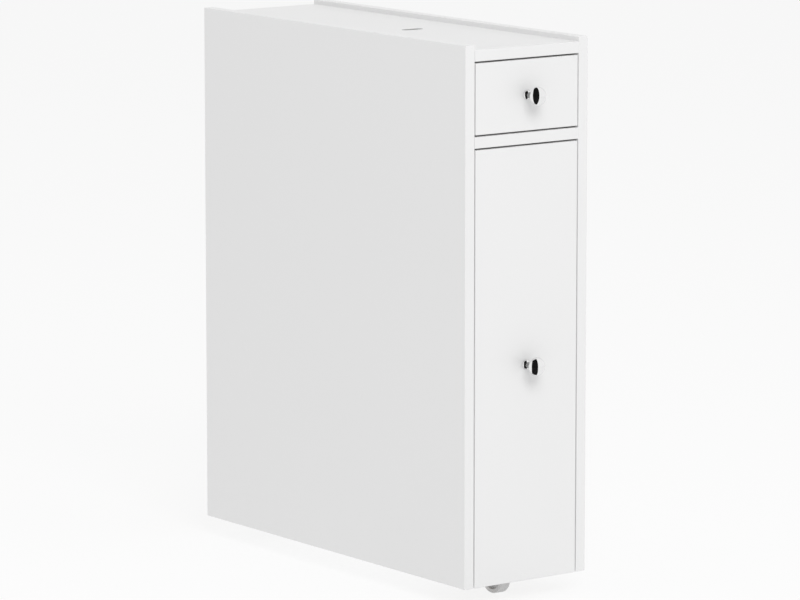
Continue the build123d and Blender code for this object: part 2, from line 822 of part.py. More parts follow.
for name, centre in carcass_castors.items():
    nodes["castor_fork_" + name] = castor_fork(centre)
    nodes["castor_wheel_" + name] = castor_wheel(centre)
for name, side in sides.items():
    nodes["side_panel_" + name] = side_panel(side)
    nodes["drawer_runner_" + name] = drawer_runner(side)
    nodes["drawer_side_" + name] = drawer_side(side)
    nodes["roller_" + name] = roller(side)
    for level_name, level in zip(("lower", "middle", "upper"), level_tops):
        nodes["guard_rod_" + level_name + "_" + name] = guard_rod(side, level)
nodes["drawer_runner_screws"] = group(
    countersunk_screw(point, way, runner_screw_length)
    for side in sides.values()
    for point, way in runner_screw_sites(side)
)

os.makedirs("parts", exist_ok=True)
for name, shape in nodes.items():
    export_step(shape, "parts/" + name + ".step")
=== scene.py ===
import math

import bmesh
import bpy
import numpy as np
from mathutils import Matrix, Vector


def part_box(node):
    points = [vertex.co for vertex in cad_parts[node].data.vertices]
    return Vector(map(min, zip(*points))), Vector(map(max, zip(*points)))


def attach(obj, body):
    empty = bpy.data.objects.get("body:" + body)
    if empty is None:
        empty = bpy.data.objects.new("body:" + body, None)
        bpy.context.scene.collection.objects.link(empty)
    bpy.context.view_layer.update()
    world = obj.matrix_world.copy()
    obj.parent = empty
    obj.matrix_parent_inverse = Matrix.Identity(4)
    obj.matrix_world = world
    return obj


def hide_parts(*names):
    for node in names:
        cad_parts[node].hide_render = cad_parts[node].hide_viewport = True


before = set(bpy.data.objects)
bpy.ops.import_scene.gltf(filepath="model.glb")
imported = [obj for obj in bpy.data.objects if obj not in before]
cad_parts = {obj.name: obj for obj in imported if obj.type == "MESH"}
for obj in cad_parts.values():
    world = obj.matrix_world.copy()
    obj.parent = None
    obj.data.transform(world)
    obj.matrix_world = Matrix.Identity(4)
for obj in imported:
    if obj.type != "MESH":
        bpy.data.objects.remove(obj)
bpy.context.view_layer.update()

# The camera: a long lens on a level tripod head tipped down a little, at the front left.
# It stands about 5.2 m away and just over a metre above the floor.
CAMERA_PLACE = (-3.1239, -4.2018, 1.1505)
CAMERA_TURN = math.radians(36.6527)
CAMERA_DIP = math.radians(9.3305)
CAMERA_LENS = 222.11
CAMERA_REACH = 100

lens = bpy.data.cameras.new("camera")
lens.lens = CAMERA_LENS
lens.clip_end = CAMERA_REACH
camera = bpy.data.objects.new("camera", lens)
camera.location = CAMERA_PLACE
camera.rotation_euler = (math.pi / 2 - CAMERA_DIP, 0, -CAMERA_TURN)
bpy.context.scene.collection.objects.link(camera)
bpy.context.scene.camera = camera
bpy.context.scene.view_settings.view_transform = "Standard"


class Socket:
    """A shader value that adds, multiplies and compares like a number, in both orders."""

    def __init__(self, shading, link):
        self.shading = shading
        self.link = link

    def math(self, operation, *values):
        return self.shading.node("ShaderNodeMath", {"operation": operation}, dict(enumerate(values)))

    def __add__(self, other):
        return self.math("ADD", self, other)

    def __sub__(self, other):
        return self.math("SUBTRACT", self, other)

    def __rsub__(self, other):
        return self.math("SUBTRACT", other, self)

    def __mul__(self, other):
        return self.math("MULTIPLY", self, other)

    def __truediv__(self, other):
        return self.math("DIVIDE", self, other)

    def __rtruediv__(self, other):
        return self.math("DIVIDE", other, self)

    def __pow__(self, other):
        return self.math("POWER", self, other)

    def __gt__(self, other):
        return self.math("GREATER_THAN", self, other)

    def __lt__(self, other):
        return self.math("LESS_THAN", self, other)

    def __abs__(self):
        return self.math("ABSOLUTE", self)

    __radd__ = __add__
    __rmul__ = __mul__


class Shading:
    """The node tree of a material or of the world."""

    def __init__(self, owner):
        owner.use_nodes = True
        self.owner = owner
        self.nodes = owner.node_tree.nodes
        self.links = owner.node_tree.links

    def put(self, socket, value):
        """Links a value to a socket, or sets the socket to a plain number or colour."""
        if isinstance(value, Socket):
            self.links.new(value.link, socket)
        elif socket.type == "RGBA" and len(value) == 3:
            socket.default_value = (*value, 1)
        else:
            socket.default_value = value

    def node(self, kind, settings=None, inputs=None, output=0):
        """Any node: its settings, then its sockets by name or number, then one output."""
        made = self.nodes.new(kind)
        for name, value in (settings or {}).items():
            setattr(made, name, value)
        for name, value in (inputs or {}).items():
            self.put(made.inputs[name], value)
        return Socket(self, made.outputs[output])

    def seen_directly(self):
        """1 for rays from the camera, a mirror or glass, and 0 for rays that only light things."""
        rays = ("Is Camera Ray", "Is Glossy Ray", "Is Transmission Ray")
        camera_ray, glossy_ray, clear_ray = (self.node("ShaderNodeLightPath", output=ray) for ray in rays)
        total = camera_ray + glossy_ray + clear_ray
        return total.math("MINIMUM", total, 1.0)


# The studio floor: pale and matt, and lit from below too, like a light table. It is nearly white
# where it is seen, still takes the shadow, and sends some light up under the cabinet.
FLOOR_REACH = 12
FLOOR_COLOUR = (0.95, 0.95, 0.95)
FLOOR_GLOW_SHARE = 0.84
FLOOR_UNDERLIT_SHARE = 0.7
WHITE = (1, 1, 1)


def plain_object(name, points, faces):
    """A mesh object from lists of points and faces."""
    mesh = bpy.data.meshes.new(name)
    mesh.from_pydata(points, [], faces)
    made = bpy.data.objects.new(name, mesh)
    bpy.context.scene.collection.objects.link(made)
    return made


floor_paint = Shading(bpy.data.materials.new("studio_floor"))
matt = floor_paint.node("ShaderNodeBsdfDiffuse", {}, {"Color": FLOOR_COLOUR})
glow = floor_paint.node("ShaderNodeEmission", {}, {"Color": WHITE, "Strength": 1.0})
seen_glow = floor_paint.seen_directly() * (FLOOR_GLOW_SHARE - FLOOR_UNDERLIT_SHARE)
mixed = floor_paint.node("ShaderNodeMixShader", {}, {0: FLOOR_UNDERLIT_SHARE + seen_glow, 1: matt, 2: glow})
floor_paint.put(floor_paint.nodes["Material Output"].inputs["Surface"], mixed)

corners = [(x * FLOOR_REACH, y * FLOOR_REACH, 0) for x, y in ((-1, -1), (1, -1), (1, 1), (-1, 1))]
floor = plain_object("studio_floor", corners, [(0, 1, 2, 3)])
floor.data.materials.append(floor_paint.owner)


# The studio light: a white surround that lights evenly, a large soft key lamp at the front left
# and a weak one overhead.
SURROUND_LEVEL = 0.56
KEY_PLACE = (-1.73, -4.01, 3.47)
KEY_SIZE = 2.4
KEY_POWER = 96
OVERHEAD_PLACE = (0, 0.01, 3.6)
OVERHEAD_SIZE = 3.0
OVERHEAD_POWER = 20
LAMP_AIM = (0, 0, 0.3)


def soft_lamp(name, place, size, power):
    """A square lamp that points at the middle of the cabinet and shows in nothing."""
    lamp = bpy.data.objects.new(name, bpy.data.lights.new(name, "AREA"))
    lamp.data.size = size
    lamp.data.energy = power
    lamp.location = place
    x, y, z = np.array(LAMP_AIM) - np.array(place)
    lamp.rotation_euler = (math.atan2(math.hypot(x, y), -z), 0, math.atan2(y, x) - math.pi / 2)
    lamp.visible_camera = False
    lamp.visible_glossy = False
    bpy.context.scene.collection.objects.link(lamp)


soft_lamp("key_lamp", KEY_PLACE, KEY_SIZE, KEY_POWER)
soft_lamp("overhead_lamp", OVERHEAD_PLACE, OVERHEAD_SIZE, OVERHEAD_POWER)

bpy.context.scene.world = bpy.data.worlds.new("surround")
sky = Shading(bpy.context.scene.world)
sky.put(sky.nodes["Background"].inputs["Color"], WHITE)
sky_strength = SURROUND_LEVEL + sky.seen_directly() * (1 - SURROUND_LEVEL)
sky.put(sky.nodes["Background"].inputs["Strength"], sky_strength)


# The black flag: a dark cloth that shows only in polished metal, as an upright oval on a knob.
FLAG_REACH = 2.6
FLAG_CENTRE = (0, -0.24, 0.39)
FLAG_LIFT = 0.002
FLAG_WIDTH_SHARE = 0.31
FLAG_HEIGHT_SHARE = 0.86
FLAG_RINGS = 15
FLAG_SPOKES = 48
FLAG_COLOUR = (0.012, 0.012, 0.012)
LEAST_FALL = 1e-9


def ring_faces(rings, spokes):
    """Four-cornered faces between neighbouring rings of as many points each."""
    ring, spoke = np.meshgrid(np.arange(rings - 1), np.arange(spokes), indexing="ij")
    following = (spoke + 1) % spokes
    inner = (ring * spokes + spoke, ring * spokes + following)
    outer = ((ring + 1) * spokes + following, (ring + 1) * spokes + spoke)
    return np.stack(inner + outer, axis=2).reshape(-1, 4)


def turns(count):
    """Angles at equal steps round a whole turn."""
    return np.linspace(0, 2 * math.pi, count, endpoint=False)


def black_flag():
    """A cloth so cut that a round knob mirrors it as an upright oval before the camera.
    At (p, q) of a mirror ball seen along its z axis, with c = sqrt(1 - p^2 - q^2), the mirrored
    direction is (2 p c, 2 q c, 2 c^2 - 1). The cloth lies on the floor where that points down."""
    reach, turn = np.meshgrid(np.linspace(0, 1, FLAG_RINGS), turns(FLAG_SPOKES), indexing="ij")
    p = FLAG_WIDTH_SHARE * reach * np.cos(turn)
    q = FLAG_HEIGHT_SHARE * reach * np.sin(turn)
    c = np.sqrt(1 - p**2 - q**2)
    mirrored = np.stack((2 * p * c, 2 * q * c, 2 * c**2 - 1), axis=2).reshape(-1, 3)
    ways = mirrored @ np.array(camera.rotation_euler.to_matrix()).T
    fall = np.minimum(ways[:, 2], -LEAST_FALL)
    length = np.minimum(FLAG_REACH, (FLAG_LIFT - FLAG_CENTRE[2]) / fall)
    points = np.array(FLAG_CENTRE) + ways * length[:, None]
    return plain_object("black_flag", points.tolist(), ring_faces(FLAG_RINGS, FLAG_SPOKES).tolist())


flag = black_flag()
flag_cloth = Shading(bpy.data.materials.new("black_cloth"))
flag_cloth.put(flag_cloth.nodes["Principled BSDF"].inputs["Base Color"], FLAG_COLOUR)
flag_cloth.put(flag_cloth.nodes["Principled BSDF"].inputs["Specular IOR Level"], 0.0)
flag.data.materials.append(flag_cloth.owner)
for way in ("visible_camera", "visible_diffuse", "visible_shadow", "visible_transmission"):
    setattr(flag, way, False)


class Finish(Shading):
    """A material of one Principled shader, for which only some values change over a surface."""

    def __init__(self, name, **constants):
        super().__init__(bpy.data.materials.new(name))
        self.shader = self.nodes["Principled BSDF"]
        self.surface(**constants)

    def surface(self, **values):
        """Values or links of the shader's sockets, by their names with underscores."""
        for name, value in values.items():
            self.put(self.shader.inputs[name.replace("_", " ")], value)

    def place(self, stretch=(1, 1, 1)):
        """Object coordinates in metres, stretched along the axes."""
        coordinates = self.node("ShaderNodeTexCoord", output="Object")
        return self.node("ShaderNodeMapping", {}, {"Vector": coordinates, "Scale": stretch})

    def along(self, axis):
        """One object coordinate, in metres."""
        return self.node("ShaderNodeSeparateXYZ", {}, {0: self.place()}, output=axis)

    def noise(self, place, scale, detail=3.0, roughness=0.5):
        """Smooth noise, from 0 to 1 and about 0.5 on average."""
        inputs = {"Vector": place, "Scale": scale, "Detail": detail, "Roughness": roughness}
        return self.node("ShaderNodeTexNoise", {}, inputs)

    def ramp(self, value, *stops):
        """A colour that runs through stops of (place, colour)."""
        made = self.node("ShaderNodeValToRGB", {}, {0: value})
        elements = made.link.node.color_ramp.elements
        while len(elements) < len(stops):
            elements.new(1)
        for element, (place, colour) in zip(elements, stops):
            element.position = place
            element.color = (*colour, 1)
        return made

    def blend(self, share, first, second):
        """A colour between two colours."""
        return self.node("ShaderNodeMix", {"data_type": "RGBA"}, {0: share, 6: first, 7: second}, output=2)

    def bump(self, height, depth):
        """A bent normal from a height from 0 to 1 and its real depth in metres."""
        return self.node("ShaderNodeBump", {}, {"Height": height, "Distance": depth, "Strength": 1.0})

    def dress(self, *names):
        """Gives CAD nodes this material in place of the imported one."""
        for name in names:
            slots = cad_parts[name].data.materials
            slots.clear()
            slots.append(self.owner)


# The boards: 12 mm moisture-proof board with a satin white lacquer on every face.
# The lacquer has a faint orange peel, and its gloss drifts a little over a panel.
LACQUER_WHITE = (0.86, 0.86, 0.86)
LACQUER_SHADE = (0.85, 0.85, 0.85)
LACQUER_SHINE = 0.4
LACQUER_ROUGHNESS = 0.36
DRIFT_SCALE = 5
DRIFT_ROUGHNESS = 0.08
ORANGE_PEEL_SCALE = 420
ORANGE_PEEL_ROUGHNESS = 0.05
ORANGE_PEEL_DEPTH = 0.000012


def lacquer(name):
    """The lacquer, and its colour by itself for a board that adds something to it."""
    finish = Finish(name, Specular_IOR_Level=LACQUER_SHINE)
    drift = finish.noise(finish.place(), DRIFT_SCALE, detail=2.0)
    peel = finish.noise(finish.place(), ORANGE_PEEL_SCALE, detail=2.0)
    colour = finish.blend(drift, LACQUER_WHITE, LACQUER_SHADE)
    finish.surface(
        Base_Color=colour,
        Roughness=LACQUER_ROUGHNESS + DRIFT_ROUGHNESS * drift + ORANGE_PEEL_ROUGHNESS * peel,
        Normal=finish.bump(peel, ORANGE_PEEL_DEPTH),
    )
    return finish, colour


plain_lacquer, plain_colour = lacquer("white_lacquer")
plain_lacquer.dress(
    "side_panel_left", "side_panel_right", "divider_board", "bottom_board",
    "drawer_front", "drawer_side_left", "drawer_side_right", "drawer_back",
    "pullout_front", "pullout_bottom", "pullout_back", "pullout_shelf_lower", "pullout_shelf_upper",
)


# The top board: the same board and lacquer, with a finger slot cut across it. The slot's cut
# wall is painted a darker grey, painted shade in the slot that shows as a thin mark on the top.
SLOT_SETBACK = 0.198
SLOT_LENGTH = 0.026
SLOT_WIDTH = 0.010
SLOT_WALL_SKIN = 0.0002
# Painted shade: the darker grey given to the slot's wall and a thin band round its rim.
SLOT_PAINTED_SHADE = (0.52, 0.52, 0.52)

top_lacquer, top_colour = lacquer("white_lacquer_top")
slot_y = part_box("top_board")[0][1] + SLOT_SETBACK
past_straight = abs(top_lacquer.along(0)) - (SLOT_LENGTH - SLOT_WIDTH) / 2
past_straight = past_straight.math("MAXIMUM", past_straight, 0.0)
from_middle = (past_straight**2 + (top_lacquer.along(1) - slot_y) ** 2) ** 0.5
# The slot's wall takes the painted shade in place of the lacquer's colour.
slot_shade_mask = from_middle < SLOT_WIDTH / 2 + SLOT_WALL_SKIN
top_lacquer.surface(Base_Color=top_lacquer.blend(slot_shade_mask, top_colour, SLOT_PAINTED_SHADE))
top_lacquer.dress("top_board")


# The thin panels: 3 mm hardboard, painted white on the face that shows and bare on the rear,
# which keeps the weave of the screen that it was pressed on. They slide into saw-cut grooves.
PAINTED_FACE = (0.82, 0.82, 0.81)
BARE_HARDBOARD = (0.33, 0.21, 0.125)
WORN_HARDBOARD = (0.21, 0.125, 0.07)
HARDBOARD_SHINE = 0.3
PAINTED_ROUGHNESS = 0.5
BARE_ROUGHNESS = 0.75
FIBRE_SCALE = 900
FIBRE_SHARE = 0.6
FIBRE_LIFT = 0.1
WEAVE_PITCH = 0.0011
WEAVE_DEPTH = 0.0002


def ends(node):
    """The lowest and highest corner of a CAD node, and its middle, as arrays."""
    low, high = (np.array(corner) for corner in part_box(node))
    return low, high, (low + high) / 2


def hardboard(name, node, rear_axis, rear_sign, weave_axes):
    """White in front of the panel's middle and bare behind it, with the weave
    (1 + sin 2 pi s / P sin 2 pi t / P) / 2 along two axes s and t."""
    finish = Finish(name, Specular_IOR_Level=HARDBOARD_SHINE)
    middle = ends(node)[2][rear_axis]
    rear = (finish.along(rear_axis) - middle) * rear_sign > 0
    fibres = finish.noise(finish.place(), FIBRE_SCALE, detail=4.0)
    first, second = (finish.along(axis) * (2 * math.pi / WEAVE_PITCH) for axis in weave_axes)
    weave = first.math("SINE", first) * second.math("SINE", second) * 0.5 + 0.5
    mottle = FIBRE_SHARE * fibres + (1 - FIBRE_SHARE) * weave
    finish.surface(
        Base_Color=finish.blend(rear, PAINTED_FACE, finish.blend(mottle, WORN_HARDBOARD, BARE_HARDBOARD)),
        Roughness=PAINTED_ROUGHNESS + (BARE_ROUGHNESS - PAINTED_ROUGHNESS) * rear,
        Normal=finish.bump(weave * rear + fibres * FIBRE_LIFT, WEAVE_DEPTH),
    )
    finish.dress(node)


hardboard("hardboard_back", "back_panel", 1, 1, (0, 2))
hardboard("hardboard_drawer", "drawer_bottom", 2, -1, (0, 1))


# The bare wood: beech drawer runners screwed to the side panels, the stop peg, the dowels and
# the block that lifts the front castor. Planed, with the small dark flecks of beech.
BEECH_PALE = (0.70, 0.49, 0.31)
BEECH_DARK = (0.56, 0.36, 0.21)
BEECH_FLECK = (0.40, 0.24, 0.13)
BEECH_SHINE = 0.35
BEECH_ROUGHNESS = 0.5
GRAIN_STRETCH = 0.04
BAND_SCALE = 160
BAND_SHARE = 0.7
STREAK_SCALE = 1400
STREAK_ROUGHNESS = 0.15
STREAK_DEPTH = 0.00004
FLECK_STRETCH = 0.18
FLECK_SCALE = 1900
FLECK_FROM = 0.68
FLECK_SHARE = 0.6


def beech(name, grain_axis, *nodes):
    """Grain that runs along one axis: broad bands, fine streaks and short flecks."""
    def drawn(length):
        return [length if axis == grain_axis else 1 for axis in range(3)]

    finish = Finish(name, Specular_IOR_Level=BEECH_SHINE)
    bands = finish.noise(finish.place(drawn(GRAIN_STRETCH)), BAND_SCALE, detail=4.0, roughness=0.6)
    streaks = finish.noise(finish.place(drawn(GRAIN_STRETCH)), STREAK_SCALE, detail=2.0)
    flecks = finish.noise(finish.place(drawn(FLECK_STRETCH)), FLECK_SCALE, detail=1.0) > FLECK_FROM
    grain = BAND_SHARE * bands + (1 - BAND_SHARE) * streaks
    wood = finish.blend(grain, BEECH_PALE, BEECH_DARK)
    finish.surface(
        Base_Color=finish.blend(FLECK_SHARE * flecks, wood, BEECH_FLECK),
        Roughness=BEECH_ROUGHNESS + STREAK_ROUGHNESS * streaks,
        Normal=finish.bump(streaks, STREAK_DEPTH),
    )
    finish.dress(*nodes)


beech("beech_lengthwise", 1, "drawer_runner_left", "drawer_runner_right", "drawer_dowels", "pullout_dowels")
beech("beech_crosswise", 0, "pullout_castor_block", "carcass_dowels")
beech("beech_upright", 2, "drawer_stop_peg")


# The knobs: die-cast, buffed and chrome plated, held by one screw from inside. Each has a foot
# like half a bead, a slim neck that flares under a sharp rim, and a high domed head. The neck
# and flare are painted a darker grey: a painted dark reflection and shade under the rim.
KNOB_FOOT_RADIUS = 0.0057
KNOB_BEAD_RADIUS = 0.0058
KNOB_NECK_RADIUS = 0.0032
KNOB_FLARE = (0.0098, 0.0163)
KNOB_FLARE_SLOPE = (1, 0.3)
KNOB_RIM = (0.0104, 0.0174)
KNOB_RIM_ROUNDING = 0.00035
KNOB_HEIGHT = 0.0254
BEAD_POINTS = 20
FLARE_POINTS = 26
DOME_POINTS = 44
TURN_STEPS = 128
EASE_POINTS = 6
CREASE = 35
WELD = 1e-7
CHROME_COLOUR = (0.83, 0.83, 0.83)
CHROME_ROUGHNESS = 0.03
CHROME_HAZE = 0.03
HAZE_SCALE = 350
# Painted dark reflection and shade: the darker grey given to the neck and flare.
NECK_PAINTED_REFLECTION = (0.35, 0.35, 0.35)
NECK_REFLECTION_FROM_SHARES = (0.145, 0.150)
NECK_REFLECTION_TO_SHARES = (0.48, 0.60)


def turned(profile, start, way, steps=TURN_STEPS, carve=None):
    """Points and faces of a profile of (r, h) turned about an axis.
    Points = start + h w + r (cos a u + sin a v), with w along the axis and u, v square to it.
    A carve function of r and a is taken off h."""
    r, h = np.array(profile, float).T[:, :, None]
    a = turns(steps)[None, :]
    if carve is not None:
        h = h - carve(r, a)
    w = np.array(way, float)
    u = np.roll(w, 1)
    v = np.cross(w, u)
    radial = np.cos(a)[:, :, None] * u + np.sin(a)[:, :, None] * v
    points = np.array(start) + (h + 0 * a)[:, :, None] * w + r[:, :, None] * radial
    return points.reshape(-1, 3), ring_faces(len(profile), steps)


def arc(centre, radius, start, end, count):
    """Profile points round a centre, from one angle to another, in radians from the r axis."""
    angles = np.linspace(start, end, count)
    return list(zip(centre[0] + radius * np.cos(angles), centre[1] + radius * np.sin(angles)))


def eased(profile, radius, *corners):
    """A profile with some of its corners, by their numbers, replaced by small round ones."""
    eased_profile = []
    for index, point in enumerate(profile):
        if index not in corners:
            eased_profile.append(point)
            continue
        corner = np.array(point)
        before, after = (np.array(profile[index + step]) - corner for step in (-1, 1))
        before, after = (side / np.hypot(*side) for side in (before, after))
        for share in np.linspace(0, 1, EASE_POINTS):
            first = corner + before * radius * (1 - share)
            second = corner + after * radius * share
            eased_profile.append(tuple(first * (1 - share) + second * share))
    return eased_profile


def add_piece(name, parts, finish, body, node):
    """One closed mesh from (points, faces) parts, in place of a CAD node."""
    counts = np.cumsum([0] + [len(points) for points, faces in parts])
    points = np.concatenate([points for points, faces in parts])
    faces = np.concatenate([faces + first for (_, faces), first in zip(parts, counts)])
    made = plain_object(name, points.tolist(), faces.tolist())
    shell = bmesh.new()
    shell.from_mesh(made.data)
    bmesh.ops.remove_doubles(shell, verts=shell.verts, dist=WELD)
    bmesh.ops.dissolve_degenerate(shell, edges=shell.edges, dist=WELD)
    bmesh.ops.recalc_face_normals(shell, faces=shell.faces)
    shell.to_mesh(made.data)
    shell.free()
    made.data.polygons.foreach_set("use_smooth", np.ones(len(made.data.polygons), bool))
    made.data.set_sharp_from_angle(angle=math.radians(CREASE))
    made.data.materials.append(finish.owner)
    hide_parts(node)
    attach(made, body)


def knob_profile():
    """From the foot's middle to the dome's top. The flare is the cubic curve that leaves the neck
    along the axis and arrives under the rim nearly outwards."""
    bead_drop = math.sqrt(KNOB_BEAD_RADIUS**2 - KNOB_FOOT_RADIUS**2)
    low, high = (math.acos(r / KNOB_BEAD_RADIUS) for r in (KNOB_FOOT_RADIUS, KNOB_NECK_RADIUS))
    bead = arc((0, -bead_drop), KNOB_BEAD_RADIUS, low, high, BEAD_POINTS)
    neck, flare = np.array(bead[-1]), np.array(KNOB_FLARE)
    pull = np.hypot(*(flare - neck))
    leaving, arriving = np.array((0, pull)), pull * np.array(KNOB_FLARE_SLOPE) / np.hypot(*KNOB_FLARE_SLOPE)
    t = np.linspace(0, 1, FLARE_POINTS)[1:-1, None]
    curve = (2 * t**3 - 3 * t**2 + 1) * neck + (t**3 - 2 * t**2 + t) * leaving
    curve = curve + (3 * t**2 - 2 * t**3) * flare + (t**3 - t**2) * arriving
    rise = KNOB_HEIGHT - KNOB_RIM[1]
    dome_radius = (KNOB_RIM[0] ** 2 + rise**2) / (2 * rise)
    rim_angle = math.acos(KNOB_RIM[0] / dome_radius)
    dome = arc((0, KNOB_HEIGHT - dome_radius), dome_radius, rim_angle, math.pi / 2, DOME_POINTS)
    outline = [(0, 0)] + bead + [tuple(point) for point in curve] + [KNOB_FLARE, KNOB_RIM] + dome[1:]
    flare_index = outline.index(KNOB_FLARE)
    return eased(outline, KNOB_RIM_ROUNDING, flare_index, flare_index + 1)


chrome = Finish("polished_chrome", Metallic=1.0)
height_share = (ends("pullout_front")[0][1] - chrome.along(1)) / KNOB_HEIGHT
# The neck and flare, between these shares of the knob's height, take the painted dark reflection.
chrome.surface(
    Base_Color=chrome.ramp(
        height_share,
        (NECK_REFLECTION_FROM_SHARES[0], CHROME_COLOUR), (NECK_REFLECTION_FROM_SHARES[1], NECK_PAINTED_REFLECTION),
        (NECK_REFLECTION_TO_SHARES[0], NECK_PAINTED_REFLECTION), (NECK_REFLECTION_TO_SHARES[1], CHROME_COLOUR),
    ),
    Roughness=CHROME_ROUGHNESS + CHROME_HAZE * chrome.noise(chrome.place(), HAZE_SCALE),
)
for body in ("drawer", "pullout"):
    front_low, front_high, front_middle = ends(body + "_front")
    foot = (front_middle[0], front_low[1], ends(body + "_knob")[2][2])
    part = turned(knob_profile(), foot, (0, -1, 0))
    add_piece(body + "_knob_turned", [part], chrome, body, body + "_knob")


# The guard rods: 5 mm drawn steel rod, chrome plated, let 6 mm into the pull-out's front and back.
ROD_STEPS = 48
ROD_EASE_SHARE = 0.125

for level in ("lower", "middle", "upper"):
    for side in ("left", "right"):
        node = f"guard_rod_{level}_{side}"
        low, high, middle = ends(node)
        radius = (high[2] - low[2]) / 2
        length = high[1] - low[1]
        outline = [(0, 0), (radius, 0), (radius, length), (0, length)]
        outline = eased(outline, radius * ROD_EASE_SHARE, 1, 2)
        part = turned(outline, (middle[0], low[1], middle[2]), (0, 1, 0), ROD_STEPS)
        add_piece(node + "_drawn", [part], chrome, "pullout", node)


# The castor wheels: moulded grey plastic, 35 mm across. The tread is slightly crowned and has a
# fine parting line, and a dish on each side leaves a rim, a thin web and a hub.
WHEEL_BORE = 0.00255
WHEEL_HUB = 0.005
WHEEL_DISH = 0.013
WHEEL_DISH_DEPTH = 0.0035
WHEEL_EDGE = 0.0008
WHEEL_DISH_EDGE = 0.0004
WHEEL_CROWN = 0.00008
PARTING_LINE = 0.00006
PARTING_HALF_WIDTH = 0.00012
WHEEL_GREY = (0.70, 0.70, 0.70)
WHEEL_DUST = (0.62, 0.62, 0.62)
WHEEL_SHINE = 0.45
WHEEL_ROUGHNESS = 0.42
SCUFF_SCALE = 320
SCUFF_ROUGHNESS = 0.2
MOULD_GRAIN_SCALE = 2600
MOULD_GRAIN_DEPTH = 0.00002


def wheel_profile(radius, width):
    """Round the whole section, from the middle of the bore back to it."""
    half = width / 2
    dish = half - WHEEL_DISH_DEPTH
    crown = radius - PARTING_LINE
    side = [
        (WHEEL_BORE, 0), (WHEEL_BORE, half), (WHEEL_HUB, half), (WHEEL_HUB, dish), (WHEEL_DISH, dish),
        (WHEEL_DISH, half), (crown - WHEEL_CROWN, half), (crown, half / 2), (crown, PARTING_HALF_WIDTH),
        (radius, 0),
    ]
    side = eased(side, WHEEL_DISH_EDGE, 2, 3, 4, 5)
    side = eased(side, WHEEL_EDGE, len(side) - 4)
    return side + [(r, -h) for r, h in reversed(side[:-1])]


plastic = Finish("grey_wheel_plastic", Specular_IOR_Level=WHEEL_SHINE)
scuff = plastic.noise(plastic.place(), SCUFF_SCALE, detail=5.0, roughness=0.65)
mould_grain = plastic.noise(plastic.place(), MOULD_GRAIN_SCALE, detail=2.0)
plastic.surface(
    Base_Color=plastic.blend(scuff, WHEEL_GREY, WHEEL_DUST),
    Roughness=WHEEL_ROUGHNESS + SCUFF_ROUGHNESS * scuff,
    Normal=plastic.bump(mould_grain, MOULD_GRAIN_DEPTH),
)
wheels = {"pullout_castor_wheel": "pullout_castor"}
for place in ("front_left", "front_right", "rear_left", "rear_right"):
    wheels["castor_wheel_" + place] = "castor_" + place
for node, body in wheels.items():
    low, high, middle = ends(node)
    part = turned(wheel_profile((high[2] - low[2]) / 2, high[0] - low[0]), middle, (1, 0, 0))
    add_piece(node + "_moulded", [part], plastic, body, node)


# The white nylon pieces: two rollers at the pull-out's back that run on the bottom board, and
# the block that slides in the channel.
ROLLER_BORE = 0.00255
ROLLER_EDGE = 0.0006
ROLLER_STEPS = 96
NYLON_WHITE = (0.84, 0.84, 0.81)
NYLON_SHINE = 0.45
NYLON_ROUGHNESS = 0.38
NYLON_CLOUD = 0.12
NYLON_CLOUD_SCALE = 500

nylon = Finish("white_nylon", Base_Color=NYLON_WHITE, Specular_IOR_Level=NYLON_SHINE)
nylon.surface(Roughness=NYLON_ROUGHNESS + NYLON_CLOUD * nylon.noise(nylon.place(), NYLON_CLOUD_SCALE))
nylon.dress("guide_block")
for node in ("roller_left", "roller_right"):
    low, high, middle = ends(node)
    radius, half = (high[2] - low[2]) / 2, (high[0] - low[0]) / 2
    outline = [(ROLLER_BORE, 0), (ROLLER_BORE, half), (radius, half)]
    outline += [(radius, -half), (ROLLER_BORE, -half), (ROLLER_BORE, 0)]
    part = turned(eased(outline, ROLLER_EDGE, 2, 3), middle, (1, 0, 0), ROLLER_STEPS)
    add_piece(node + "_moulded", [part], nylon, node, node)


# The castor forks, axles and stop pin: pressed and turned steel, bright zinc plated. The plating
# is slightly mottled, and the axles are riveted over at both ends.
ZINC_BRIGHT = (0.66, 0.67, 0.68)
ZINC_DULL = (0.50, 0.51, 0.53)
ZINC_ROUGHNESS = 0.26
MOTTLE_SCALE = 210
MOTTLE_ROUGHNESS = 0.2
ZINC_GRAIN_SCALE = 1500
ZINC_GRAIN_DEPTH = 0.00001

zinc = Finish("zinc_plated_steel", Metallic=1.0)
mottle = zinc.noise(zinc.place(), MOTTLE_SCALE, detail=4.0, roughness=0.6)
zinc.surface(
    Base_Color=zinc.blend(mottle, ZINC_BRIGHT, ZINC_DULL),
    Roughness=ZINC_ROUGHNESS + MOTTLE_ROUGHNESS * mottle,
    Normal=zinc.bump(zinc.noise(zinc.place(), ZINC_GRAIN_SCALE), ZINC_GRAIN_DEPTH),
)
carcass_forks = ["castor_fork_" + place for place in ("front_left", "front_right", "rear_left", "rear_right")]
zinc.dress(*carcass_forks, "pullout_castor_fork", "castor_axles", "pullout_castor_axle", "guide_stop_pin")


